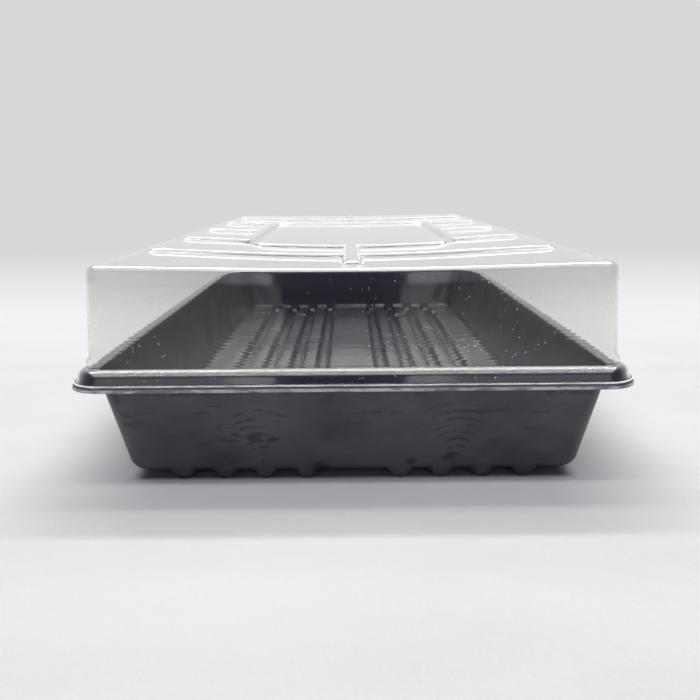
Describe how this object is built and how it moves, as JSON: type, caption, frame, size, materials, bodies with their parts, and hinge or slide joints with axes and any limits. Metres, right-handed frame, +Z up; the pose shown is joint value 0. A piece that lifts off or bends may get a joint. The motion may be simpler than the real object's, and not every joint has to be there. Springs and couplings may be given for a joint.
{
  "type": "humidity dome tray",
  "caption": "Shallow black plastic seed tray with a clear lift-off humidity dome that sits over its rim and has raised stiffening bands on top.",
  "frame": {"origin": "on the ground under the middle of the tray, halfway along both sides", "axes": "+Z up, the way the dome lifts off; +Y along the tray's length; +X across it"},
  "size_m": [0.278, 0.545, 0.115],
  "materials": {
    "black_plastic": "vacuum-formed black polystyrene, semi-gloss with light scuffs",
    "clear_plastic": "vacuum-formed clear sheet, glossy, with a faint warm grey tint"
  },
  "bodies": {
    "tray": {"tray": "black_plastic"},
    "dome": {"dome": "clear_plastic"}
  },
  "joints": [
    {"name": "dome_lift", "type": "slide", "parent": "tray", "child": "dome", "axis": [0, 0, 1], "range_m": [0, 0.12]}
  ]
}
